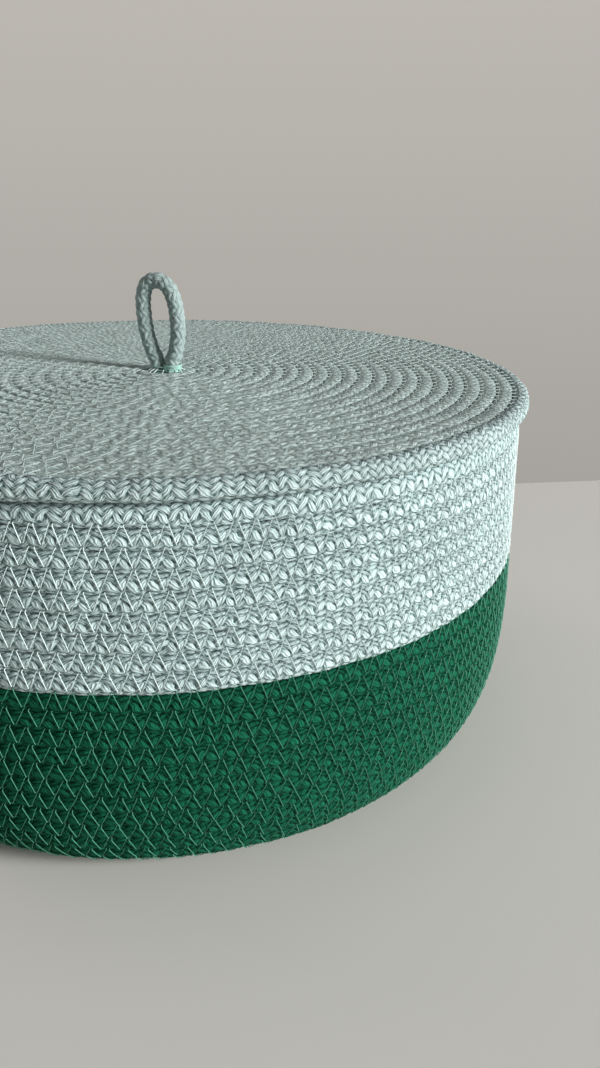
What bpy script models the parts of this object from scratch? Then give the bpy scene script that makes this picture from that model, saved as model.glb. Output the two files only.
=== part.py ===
"""A round lidded basket made of braided cotton cord that is coiled and sewn row on row.

Two lengths of cord make the basket. The green one starts in the middle of the base, coils outwards
and climbs the lower wall, and the mint one goes on to the rim. A third length is coiled flat into the
lid, and a fourth is the upright loop in the middle of the lid, with its two ends sewn into the eye.
Every coil is one closed solid whose ridges are the rows of its cord: they run level for most of a
turn, and climb one row in a short stretch on one side, so that no row is a closed ring.

Lengths are in metres and +Z is up. The basket stands on the plane of zero height, centred on the Z
axis. The plane of the loop is the XZ plane.
"""

import math

import bmesh
import bpy
import numpy as np
from mathutils import Matrix, Vector

# Cord
cord_diameter = 0.0062
row_pitch = 0.00575
touching_gap = 0.0003
foot_flat = 0.0005

# Lid
lid_diameter = 0.2765
lid_overhang = 0.0029

# Basket
wall_height = 0.1246
corner_height = 0.056
corner_width = 0.0276
flare = 0.0025
rim_row_height = 0.0069
button_radius = 0.0029
mint_rows = 9

# Loop
loop_height = 0.0305
loop_width = 0.0136
loop_lean = 0.0021
loop_cord_diameter = 0.0060
leg_spacing = 0.0063

# How a row of cord stands out of its coil, as shares of the cord's radius and of the row
groove_share = 0.46
crest_share = 0.95
shoulder_share = 0.27
corner_roundness = 2.8

# How finely the coils are drawn
stations = 24
climb_stations = 5
climb_end_deg = 240.0
line_samples = 400

# The loop's bow from its left leg to its crown: half widths and heights as shares of its own. It leans
# more and more with its height.
loop_half_shares = [(0.66, 0.105), (0.82, 0.22), (0.96, 0.38), (1.0, 0.56), (0.95, 0.75), (0.74, 0.9), (0.43, 0.973)]
lean_curve_share = 1.5
steps_between_points = 3
end_cap_shares = [0.5, 0.8, 0.96]

MINT = (0.498, 0.638, 0.591, 1.0)
GREEN = (0.010, 0.098, 0.052, 1.0)
COTTON_ROUGHNESS = 0.92

cord_radius = cord_diameter / 2
loop_cord_radius = loop_cord_diameter / 2
eye_radius = leg_spacing / 2 + loop_cord_radius + touching_gap
lid_radius = lid_diameter / 2
rim_radius = lid_radius - lid_overhang - cord_radius
belly_radius = rim_radius + flare
base_radius = belly_radius - corner_width
base_line_height = cord_radius - foot_flat
lid_line_height = wall_height + touching_gap + crest_share * cord_radius
weld_distance = touching_gap / 30


def make_material(name: str, colour: tuple[float, float, float, float]) -> bpy.types.Material:
    """A matt cotton in one colour."""
    material = bpy.data.materials.new(name)
    material.use_nodes = True
    shader = material.node_tree.nodes["Principled BSDF"]
    shader.inputs["Base Color"].default_value = colour
    shader.inputs["Roughness"].default_value = COTTON_ROUGHNESS
    shader.inputs["Metallic"].default_value = 0.0
    return material


def add_object(name: str, mesh: bpy.types.Mesh, material: bpy.types.Material) -> bpy.types.Object:
    """Put a mesh into the scene as one named piece."""
    mesh.materials.append(material)
    piece = bpy.data.objects.new(name, mesh)
    bpy.context.scene.collection.objects.link(piece)
    return piece


class CoilLine:
    """The line along which the rows of a coil lie, given as points (radius, height).

    A row's place is a distance along it. Its outward side is on the left of its run.
    """

    def __init__(self, points: np.ndarray) -> None:
        steps = np.hypot(*np.diff(points, axis=0).T)
        self.distance = np.concatenate([[0.0], np.cumsum(steps)])
        self.points = points
        self.length = self.distance[-1]

    def place(self, distance: np.ndarray) -> tuple[np.ndarray, np.ndarray]:
        """The points at these distances, and the unit normals that face outwards there."""
        spots = [np.interp(distance, self.distance, self.points[:, axis]) for axis in range(2)]
        reach = row_pitch / 2
        ahead = [np.interp(distance + reach, self.distance, self.points[:, axis]) for axis in range(2)]
        behind = [np.interp(distance - reach, self.distance, self.points[:, axis]) for axis in range(2)]
        run = np.stack([ahead[0] - behind[0], ahead[1] - behind[1]], axis=-1)
        run /= np.linalg.norm(run, axis=-1, keepdims=True)
        normal = np.stack([-run[:, 1], run[:, 0]], axis=-1)
        return np.stack(spots, axis=-1), normal


def basket_line() -> CoilLine:
    """The middle of the wall and the base: a straight, slightly flared wall, a rounded corner in the
    shape of a squared ellipse, and the flat base as far as the button in its middle."""
    rim = np.array([[rim_radius, wall_height]])
    turn = np.linspace(0.0, math.pi / 2, line_samples)
    power = 2 / corner_roundness
    corner = np.stack(
        [
            base_radius + corner_width * np.cos(turn) ** power,
            corner_height - (corner_height - base_line_height) * np.sin(turn) ** power,
        ],
        axis=-1,
    )
    middle = np.array([[button_radius, base_line_height]])
    return CoilLine(np.concatenate([rim, corner, middle]))


def lid_line() -> CoilLine:
    """The flat line of the lid, from its eye to its edge."""
    return CoilLine(np.array([[eye_radius, lid_line_height], [lid_radius, lid_line_height]]))


def climb_at(station: int) -> float:
    """The share of a row that the cord has climbed at a station: none until the last few stations
    of a turn, then a smooth rise to a whole row."""
    share = max(0.0, (station - (stations - climb_stations)) / climb_stations)
    return share * share * (3 - 2 * share)


def row_profile(rows: int, climbed: float, shoulders: list[float]) -> tuple[np.ndarray, np.ndarray]:
    """Where the points of a ridged surface lie at one station.

    Args:
        rows: How many rows the coil has.
        climbed: The share of a row that the cord has climbed here. The row at one edge is that much
            of a row high, and the row at the other edge is what is left of a whole one.
        shoulders: The places of a ridge's own points, as shares of its row.

    Returns:
        The places, in rows from the edge, and how far each stands out, from 0 in a groove to 1.
    """
    places = []
    heights = []
    for row in range(rows + 1):
        low = min(max(row - 1 + climbed, 0), rows)
        high = min(max(row + climbed, 0), rows)
        places.append(low)
        heights.append(0.0)
        for share in shoulders:
            places.append(low + (high - low) * share)
            heights.append(high - low)
    places.append(rows)
    heights.append(0.0)
    return np.array(places, dtype=float), np.array(heights, dtype=float)


def coil_mesh(
    name: str, line: CoilLine, grooves: np.ndarray, first_row: int, rows: int, closed: bool
) -> bpy.types.Mesh:
    """A closed solid with the ridges of a coiled cord on both sides.

    Args:
        name: The mesh's name.
        line: The line that the rows lie along.
        grooves: Where the rows of the whole line start and end, as distances along it.
        first_row: The row of the line at which this coil starts.
        rows: How many rows it has.
        closed: True where the coil ends in a button in the middle, False where it ends in a hole.
    """
    groove = groove_share * cord_radius
    crest = crest_share * cord_radius
    start_gap = touching_gap if first_row else 0.0
    start = grooves[first_row]
    left_over = 1 - start_gap / (grooves[first_row + rows] - start)
    faces_of = {1: [shoulder_share, 1 - shoulder_share], -1: [1 / 2]}
    mesh = bmesh.new()
    edges = {}
    for side, shoulders in faces_of.items():
        columns = []
        for station in range(stations + 1):
            angle = math.radians(climb_end_deg) + 2 * math.pi * station / stations
            places, heights = row_profile(rows, climb_at(station), shoulders)
            distance = np.interp(first_row + places, np.arange(len(grooves)), grooves)
            spots, normals = line.place(start + start_gap + (distance - start) * left_over)
            spots = spots + side * normals * (groove + (crest - groove) * heights)[:, None]
            column = [
                mesh.verts.new((radius * math.cos(angle), radius * math.sin(angle), max(height, 0.0)))
                for radius, height in spots
            ]
            columns.append(column)
        for left, right in zip(columns, columns[1:]):
            for upper, lower in zip(range(len(left)), range(1, len(left))):
                ring = [left[upper], left[lower], right[lower], right[upper]]
                mesh.faces.new(ring if side > 0 else ring[::-1])
        edges[side] = [[column[0] for column in columns], [column[-1] for column in columns]]
    join_sides(mesh, edges[1][0], edges[-1][0])
    if closed:
        for side in (1, -1):
            add_button(mesh, edges[side][1], side)
    else:
        join_sides(mesh, edges[-1][1], edges[1][1])
    bmesh.ops.remove_doubles(mesh, verts=mesh.verts, dist=weld_distance)
    bmesh.ops.dissolve_degenerate(mesh, edges=mesh.edges, dist=weld_distance)
    bmesh.ops.triangulate(mesh, faces=mesh.faces)
    bmesh.ops.recalc_face_normals(mesh, faces=mesh.faces)
    data = bpy.data.meshes.new(name)
    mesh.to_mesh(data)
    mesh.free()
    return data


def join_sides(mesh: bmesh.types.BMesh, one: list, other: list) -> None:
    """Close an edge of a coil with a strip from its one side to its other."""
    for index in range(len(one) - 1):
        mesh.faces.new([one[index + 1], one[index], other[index], other[index + 1]])


def add_button(mesh: bmesh.types.BMesh, ring: list, side: int) -> None:
    """Close the middle of a coil with the flat button where its cord starts.

    Args:
        mesh: The coil.
        ring: The corners of the middle groove.
        side: 1 for the underside, -1 for the inside.
    """
    height = base_line_height - side * crest_share * cord_radius
    flat_share = 1 - shoulder_share
    inner = [mesh.verts.new((v.co.x * flat_share, v.co.y * flat_share, max(height, 0.0))) for v in ring]
    centre = mesh.verts.new((0.0, 0.0, max(height, 0.0)))
    for index in range(len(ring) - 1):
        band = [ring[index], inner[index], inner[index + 1], ring[index + 1]]
        tip = [inner[index], centre, inner[index + 1]]
        mesh.faces.new(band if side > 0 else band[::-1])
        mesh.faces.new(tip if side > 0 else tip[::-1])


def smooth_through(points: list[Vector], steps: int) -> list[Vector]:
    """Points on a smooth curve that goes through the given ones, evenly between each two."""
    padded = [points[0] * 2 - points[1], *points, points[-1] * 2 - points[-2]]
    curve = []
    for before, start, end, after in zip(padded, padded[1:], padded[2:], padded[3:]):
        for step in range(steps):
            t = step / steps
            bend = before * 2 - start * 5 + end * 4 - after
            twist = start * 3 - before - end * 3 + after
            curve.append((start * 2 + (end - before) * t + bend * t * t + twist * t * t * t) / 2)
    curve.append(points[-1])
    return curve


def loop_mesh(name: str) -> bpy.types.Mesh:
    """The free bow of the loop, from one rounded leg end to the other, drawn about its hinge axis.

    Each leg ends in a half ball about the hinge axis, so that it turns on its seat without leaving it.
    """
    half = [Vector((-loop_width / 2 * x, 0.0, loop_height * z)) for x, z in loop_half_shares]
    foot = Vector((-leg_spacing / 2, 0.0, 0.0))
    crown = Vector((0.0, 0.0, loop_height))
    mirrored = [Vector((-point.x, 0.0, point.z)) for point in reversed([foot, *half])]
    route = smooth_through([foot, *half, crown, *mirrored], steps_between_points)
    for point in route:
        point.x -= loop_lean * max(point.z / loop_height, 0.0) ** lean_curve_share
    points = [(point, 1.0) for point in route]
    down = Vector((0.0, 0.0, -1.0))
    for share in end_cap_shares:
        radius = math.sqrt(1 - share * share)
        points.insert(0, (route[0] + down * (share * loop_cord_radius), radius))
        points.append((route[-1] + down * (share * loop_cord_radius), radius))
    curve = bpy.data.curves.new(name, "CURVE")
    curve.dimensions = "3D"
    curve.bevel_depth = loop_cord_radius
    curve.bevel_resolution = 2
    curve.use_fill_caps = True
    spline = curve.splines.new("POLY")
    spline.points.add(len(points) - 1)
    for target, (place, radius) in zip(spline.points, points):
        target.co = (*place, 1.0)
        target.radius = radius
    drawn = bpy.data.objects.new(name, curve)
    mesh = bpy.data.meshes.new_from_object(drawn)
    bpy.data.objects.remove(drawn)
    bpy.data.curves.remove(curve)
    return mesh


def root_mesh(name: str, low: float, high: float) -> bpy.types.Mesh:
    """The sewn ends of the loop: two upright stubs of cord, pressed together in the lid's eye."""
    outline = []
    for side in (1, -1):
        for step in range(stations // 2 + 1):
            angle = math.pi * step / (stations // 2) - math.pi / 2
            x = side * (leg_spacing / 2 + loop_cord_radius * math.cos(angle))
            outline.append((x, side * loop_cord_radius * math.sin(angle)))
    mesh = bmesh.new()
    floor = mesh.faces.new([mesh.verts.new((x, y, low)) for x, y in outline])
    raised = bmesh.ops.extrude_face_region(mesh, geom=[floor])["geom"]
    corners = [item for item in raised if isinstance(item, bmesh.types.BMVert)]
    bmesh.ops.translate(mesh, verts=corners, vec=(0.0, 0.0, high - low))
    bmesh.ops.recalc_face_normals(mesh, faces=mesh.faces)
    data = bpy.data.meshes.new(name)
    mesh.to_mesh(data)
    mesh.free()
    return data


def main() -> None:
    """Clear the scene and build the basket, its lid and its loop."""
    for leftover in list(bpy.data.objects):
        bpy.data.objects.remove(leftover, do_unlink=True)
    mint = make_material("mint_cotton", MINT)
    green = make_material("green_cotton", GREEN)

    line = basket_line()
    rows = 1 + round((line.length - rim_row_height) / row_pitch)
    grooves = np.interp(np.arange(rows + 1), [0, 1, rows], [0.0, rim_row_height, line.length])
    wall_rows = coil_mesh("mint_wall_coil", line, grooves, 0, mint_rows, closed=False)
    add_object("mint_wall_coil", wall_rows, mint)
    base_rows = coil_mesh("green_coil", line, grooves, mint_rows, rows - mint_rows, closed=True)
    add_object("green_coil", base_rows, green)
    flat = lid_line()
    lid_grooves = np.linspace(0.0, flat.length, round(flat.length / row_pitch) + 1)
    lid = add_object("lid_coil", coil_mesh("lid_coil", flat, lid_grooves, 0, len(lid_grooves) - 1, closed=False), mint)

    lid_top = lid_line_height + crest_share * cord_radius
    lid_bottom = lid_line_height - crest_share * cord_radius
    root = add_object("loop_root", root_mesh("loop_root", lid_bottom, lid_top), mint)
    root.parent = lid
    hinge = bpy.data.objects.new("loop_hinge", None)
    hinge.location = (0.0, 0.0, lid_top + touching_gap + loop_cord_radius)
    bpy.context.scene.collection.objects.link(hinge)
    hinge.parent = lid
    loop = add_object("loop_handle", loop_mesh("loop_handle"), mint)
    loop.parent = hinge
    print("rows in the basket:", rows, "grooves:", grooves[1:3].round(6), "line:", round(line.length, 6))
    print("lid radius:", lid_radius, "lid line:", lid_line_height, "hinge:", hinge.location.z)


main()
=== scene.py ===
"""Dresses the lidded basket of coiled, sewn cotton cord for its picture.

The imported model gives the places. Every coil is built here as its real length of braided cord: a tube
whose middle follows the rows, with the braid's strands, the crease of the needle holes and the sewing
threads as shapes of their own. Lengths are in metres; only the finishes reckon in millimetres.
"""

import logging
import math
from dataclasses import dataclass, field, replace
from enum import Enum
from typing import NamedTuple

import bpy
import numpy as np
from mathutils import Matrix, Vector


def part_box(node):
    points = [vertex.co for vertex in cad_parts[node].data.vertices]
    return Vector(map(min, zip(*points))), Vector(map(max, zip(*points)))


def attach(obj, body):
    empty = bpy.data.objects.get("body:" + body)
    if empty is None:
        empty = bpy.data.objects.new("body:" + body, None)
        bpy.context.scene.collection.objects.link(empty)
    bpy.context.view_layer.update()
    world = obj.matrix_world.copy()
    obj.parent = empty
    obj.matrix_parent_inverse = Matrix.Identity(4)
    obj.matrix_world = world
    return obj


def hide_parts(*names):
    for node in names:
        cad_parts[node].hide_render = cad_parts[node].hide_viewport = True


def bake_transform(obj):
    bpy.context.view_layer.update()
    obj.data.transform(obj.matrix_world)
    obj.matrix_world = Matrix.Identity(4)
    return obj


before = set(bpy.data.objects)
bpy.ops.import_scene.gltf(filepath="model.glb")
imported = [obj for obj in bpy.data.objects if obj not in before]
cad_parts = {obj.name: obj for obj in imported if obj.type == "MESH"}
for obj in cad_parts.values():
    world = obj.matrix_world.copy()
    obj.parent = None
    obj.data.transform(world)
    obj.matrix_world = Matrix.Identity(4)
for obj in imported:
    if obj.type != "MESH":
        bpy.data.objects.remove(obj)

Array = np.ndarray
Pair = tuple[float, float]
Colour = tuple[float, float, float, float]
Mesh = bpy.types.Mesh
Material = bpy.types.Material
Socket = bpy.types.NodeSocket
Value = Socket | float | tuple[float, ...]

MM = 0.001
CORD_LOWEST = 0.15 * MM
THREAD_LOWEST = 0.04 * MM
SHORT = 0.001  # of a turn, by which a cord ends before the whole one
LOG = logging.getLogger("basket")


class Side(Enum):
    """The two faces of a coil."""

    OUTER = 1
    INNER = -1


class Section(Enum):
    """A cord's section: how many sides it has on its outer face and over the rest of its turn."""

    PRESSED = (14, 4)
    FREE = (16, 10)
    PLAIN = (10, 6)

    def corners(self) -> Array:
        """The section's corners, crowded near the needle line.

        Formula: on the outer face f = reach * sign(t) |t|^crowding for even t in [-1, 1], and even
        steps over the rest of the turn.

        Returns:
            Their angles, 0 facing outwards.
        """
        reach, crowding = math.radians(100.0), 1.25
        outer, inner = self.value
        even = np.linspace(-1.0, 1.0, outer + 1)
        face = reach * np.sign(even) * np.abs(even) ** crowding
        rest = np.linspace(face[-1], face[0] + 2 * np.pi, inner + 1)[1:-1]
        return np.concatenate([face, rest])


@dataclass(frozen=True)
class Braid:
    """The cord's own make: sixteen strands plaited over two, under two.

    The braid is drawn in two phases, one to a half wave along the cord and one to a strand round it.
    Their sum and difference count the strands that wind one way and the other, so that each strand
    lies between two whole numbers.
    """

    radius: float = 3.1 * MM
    half_wave: float = 2.75 * MM
    strands: int = 8  # of one family
    relief: float = 0.4 * MM
    roundness: float = 0.4  # the power of a strand's round back
    dip: float = 0.9  # how much a strand rises and dips
    apart: int = 3  # strands from one family to the other
    level: float = 1.77  # the height at the cord's radius
    turned: float = 0.6  # the phase at the outward side

    def round_phase(self, angle: Array) -> Array:
        """The phase round the cord, one to a strand, at an angle from its outward side."""
        return angle * self.strands / (2 * np.pi) + self.turned

    def height(self, along: Array, around: Array) -> Array:
        """How high the strands stand, from about -1.2 between them to 0.1 on their backs.

        Formula: with a = around + along and b = around - along, a strand of the first family has the
        round back |sin(pi a)|^roundness and rises and dips as cos(pi/2 (b - floor(a))), so that it
        lies over two of the others and under the next two. The second family is the same with a and
        b exchanged, three strands apart. The surface is the higher of the two.

        Args:
            along: The phase along the cord.
            around: The phase round it.

        Returns:
            The heights, to be multiplied by the relief.
        """
        a = around + along
        b = around - along
        backs = [np.abs(np.sin(np.pi * phase)) ** self.roundness for phase in (a, b)]
        first = backs[0] + self.dip * np.cos(np.pi / 2 * (b - np.floor(a)))
        second = backs[1] + self.dip * np.cos(np.pi / 2 * (a - np.floor(b) - self.apart))
        return np.maximum(first, second) - self.level


class Dent(NamedTuple):
    """One kind of dent that the thread pulls into a row."""

    zigzag: int  # 0 for the zigzag that starts on the row, 1 for the one that ends there
    offset: float  # makes that zigzag's stitch count whole at the dents
    place: float  # from the row's middle
    depth: float
    length: float
    width: float


@dataclass(frozen=True)
class Sewing:
    """The machine's zigzag: its stitches, its thread and how it pulls the cord in.

    Its upper holes lie on the row where a seam starts, the lower ones on the next row. Their places
    are distances from the middles of those rows, towards the end of the line.
    """

    stitch: float = 5.4 * MM
    swing_share: float = 0.47  # from an upper hole to the next lower one
    upper_place: float = 1.7 * MM
    lower_place: float = 1.05 * MM
    recess_place: float = -2.3 * MM
    hole_half: float = 0.45 * MM
    foot_half: float = 0.03  # the same for the lower holes, in stitches
    crease_depth: float = 0.08 * MM
    pit_depth: float = 0.4 * MM
    pit_length: float = 0.95 * MM
    pit_width: float = 0.55 * MM
    recess_depth: float = 0.35 * MM
    anchor: float = 0.9 * MM  # how deep the threads' ends lie
    thread_radii: Pair = (0.155 * MM, 0.125 * MM)  # of the threads down and up again
    stands: Pair = (0.2 * MM, 0.06 * MM)  # how far these two stand out
    slope: float = 0.15 * MM  # lower at their upper ends

    def dents(self) -> tuple[Dent, Dent, Dent]:
        """The dents in a row, for the geometry and the finish alike.

        Returns:
            The upper pit, the lower pit and the recess.
        """
        pit = (self.pit_depth, self.pit_length, self.pit_width)
        recess = (self.recess_depth, self.pit_length, 2 * self.pit_width)
        return (
            Dent(0, 0.0, self.upper_place, *pit),
            Dent(1, 0.0, self.lower_place, *pit),
            Dent(1, self.swing_share, self.recess_place, *recess),
        )

    def pull(self, across: Array, counts: list[Array], held: list[Array]) -> Array:
        """How deep the thread pulls the cord in.

        Formula: each dent is depth * exp(-(x/l)^2 - (y/w)^2), where y is the distance from its line
        and x that from the nearest hole, and through each line of holes runs a shallow crease.

        Args:
            across: The distance from the middle of the row.
            counts: The stitch counts of the zigzag that starts on this row and of the one that ends
                on it, whole at their holes.
            held: The weights of these two zigzags.

        Returns:
            The depths.
        """
        depth = np.zeros_like(across)
        for dent in self.dents():
            count = counts[dent.zigzag] + dent.offset
            beside = (count - np.round(count)) * self.stitch
            line = held[dent.zigzag] * np.exp(-(((across - dent.place) / dent.width) ** 2))
            depth = depth + line * (dent.depth * np.exp(-((beside / dent.length) ** 2)) + self.crease_depth)
        return depth


def gentle(share: Array) -> Array:
    """A smooth rise from 0 to 1: 3s^2 - 2s^3 on the share limited to that range."""
    share = np.clip(share, 0.0, 1.0)
    return share * share * (3 - 2 * share)


def drift(places: Array, seed: int, waves: tuple[float, ...]) -> Array:
    """A slow uneven wander between about -1 and 1: a sum of sines of these waves, at random phases."""
    phases = np.random.default_rng(seed).random(len(waves)) * 2 * np.pi
    return sum(np.sin(2 * np.pi * wave * places + phase) for wave, phase in zip(waves, phases)) / 2


def xyz(x: Array, y: Array, z: Array) -> Array:
    """Values side by side in a new last axis."""
    return np.stack(np.broadcast_arrays(x, y, z), axis=-1)


def polar(radius: Array, angle: Array, height: Array) -> Array:
    """Points round the Z axis."""
    return xyz(radius * np.cos(angle), radius * np.sin(angle), height)


def unit(vectors: Array) -> Array:
    """The vectors in the last axis, brought to length 1."""
    return vectors / np.linalg.norm(vectors, axis=-1, keepdims=True)


def run_length(points: Array) -> Array:
    """The length of a polyline up to each of its points."""
    return np.concatenate([[0.0], np.cumsum(np.linalg.norm(np.diff(points, axis=0), axis=-1))])


class MeshMaker:
    """Puts whole arrays into meshes."""

    @staticmethod
    def quads(name: str, points: Array, faces: Array, caps: list[Array]) -> Mesh:
        """A smooth mesh of four-sided faces and some end faces.

        Args:
            name: The mesh's name.
            points: Its vertices.
            faces: The numbers of each face's four vertices.
            caps: Those of each end face.

        Returns:
            The mesh.
        """
        mesh = bpy.data.meshes.new(name)
        corners = np.concatenate([faces.ravel(), *caps])
        totals = np.concatenate([np.full(len(faces), 4), [len(cap) for cap in caps]]).astype(np.int32)
        starts = np.concatenate([[0], np.cumsum(totals)[:-1]]).astype(np.int32)
        mesh.vertices.add(len(points))
        mesh.vertices.foreach_set("co", points.astype(np.float32).ravel())
        mesh.loops.add(len(corners))
        mesh.loops.foreach_set("vertex_index", corners.astype(np.int32))
        mesh.polygons.add(len(totals))
        mesh.polygons.foreach_set("loop_start", starts)
        mesh.polygons.foreach_set("use_smooth", np.ones(len(totals), dtype=bool))
        mesh.update(calc_edges=True)
        return mesh

    @staticmethod
    def between(rings: Array, corners: int) -> Array:
        """The faces between rings and the rings after them.

        Args:
            rings: The number of each ring's first corner.
            corners: How many corners a ring has.

        Returns:
            The numbers of each face's corners.
        """
        this = np.arange(corners)
        after = (this + 1) % corners
        ahead = rings + corners
        return np.stack([rings + this, rings + after, ahead + after, ahead + this], axis=-1).reshape(-1, 4)

    @staticmethod
    def threads(name: str, paths: Array, radius: Array, up: Array, sides: int = 3) -> Mesh:
        """Threads as thin tubes, all in one mesh. Their ends are hidden, so they have no end faces.

        Args:
            name: The mesh's name.
            paths: The middles, as threads by steps by xyz.
            radius: The radii, in a shape that fits threads by steps.
            up: Directions out of the face that they lie on, in a shape that fits the paths.
            sides: The corners of a ring.

        Returns:
            The mesh.
        """
        ahead = unit(np.gradient(paths, axis=1))
        beside = unit(np.cross(ahead, up))
        up = np.cross(beside, ahead)
        turn = 2 * np.pi * np.arange(sides)[:, None] / sides
        ring = np.cos(turn) * up[:, :, None, :] + np.sin(turn) * beside[:, :, None, :]
        points = paths[:, :, None, :] + ring * radius[..., None, None]
        points[..., 2] = np.maximum(points[..., 2], THREAD_LOWEST)
        count, steps = points.shape[:2]
        rings = (np.arange(count)[:, None, None] * steps + np.arange(steps - 1)[:, None]) * sides
        return MeshMaker.quads(name, points.reshape(-1, 3), MeshMaker.between(rings, sides), [])

    @staticmethod
    def tube(name: str, rings: Array, facts: dict[str, Array]) -> Mesh:
        """A closed tube from rings of points, with facts kept at each face's corners.

        Args:
            name: The mesh's name.
            rings: Points, as rings by corners by xyz, the last column being the first point again.
            facts: Values in the same shape. In the last column a phase runs on over the seam.

        Returns:
            The mesh.
        """
        rings = rings[:, :-1]
        count, around = rings.shape[:2]
        last = (count - 1) * around
        faces = MeshMaker.between(np.arange(0, last, around)[:, None], around)
        caps = [np.arange(around)[::-1], last + np.arange(around)]
        mesh = MeshMaker.quads(name, rings.reshape(-1, 3), faces, caps)
        for fact, values in facts.items():
            here, beyond = values[:, :-1], values[:, 1:]
            side = np.stack([here[:-1], beyond[:-1], beyond[1:], here[1:]], axis=2).reshape(-1, 3)
            ends = np.concatenate([values[0, :-1][::-1], values[-1, :-1]])
            layer = mesh.attributes.new(fact, "FLOAT_VECTOR", "CORNER")
            layer.data.foreach_set("vector", np.concatenate([side, ends]).astype(np.float32).ravel())
        return mesh


@dataclass
class CoilLine:
    """The line along which a coil's rows lie, as points (radius, height) in the half plane."""

    points: Array

    def __post_init__(self) -> None:
        """Measure the line. Beyond its ends it runs straight on, for a metre."""
        distance = run_length(self.points)
        self.length = float(distance[-1])
        first, last = (unit(self.points[i + 1] - self.points[i]) for i in (0, -2))
        self.marks = np.array([-1.0, *distance, self.length + 1.0])
        self.path = np.array([self.points[0] - first, *self.points, self.points[-1] + last])

    def at(self, distance: Array) -> Array:
        """The points at these distances."""
        return np.stack([np.interp(distance, self.marks, values) for values in self.path.T], axis=-1)

    def place(self, distance: Array, reach: float = 2.9 * MM) -> tuple[Array, Array]:
        """The points at these distances and the normals there, on the left of the line's run."""
        run = unit(self.at(distance + reach) - self.at(distance - reach))
        return self.at(distance), np.stack([-run[..., 1], run[..., 0]], axis=-1)


@dataclass(frozen=True)
class Stretch:
    """A stretch of a coil's cord that is a piece of its own."""

    name: str
    turns: Pair
    section: Section = Section.PRESSED
    free_side: int = 0  # 1 or -1 where the side towards or away from the line's end is free and round
    rings: int = 6  # to a stitch


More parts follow.
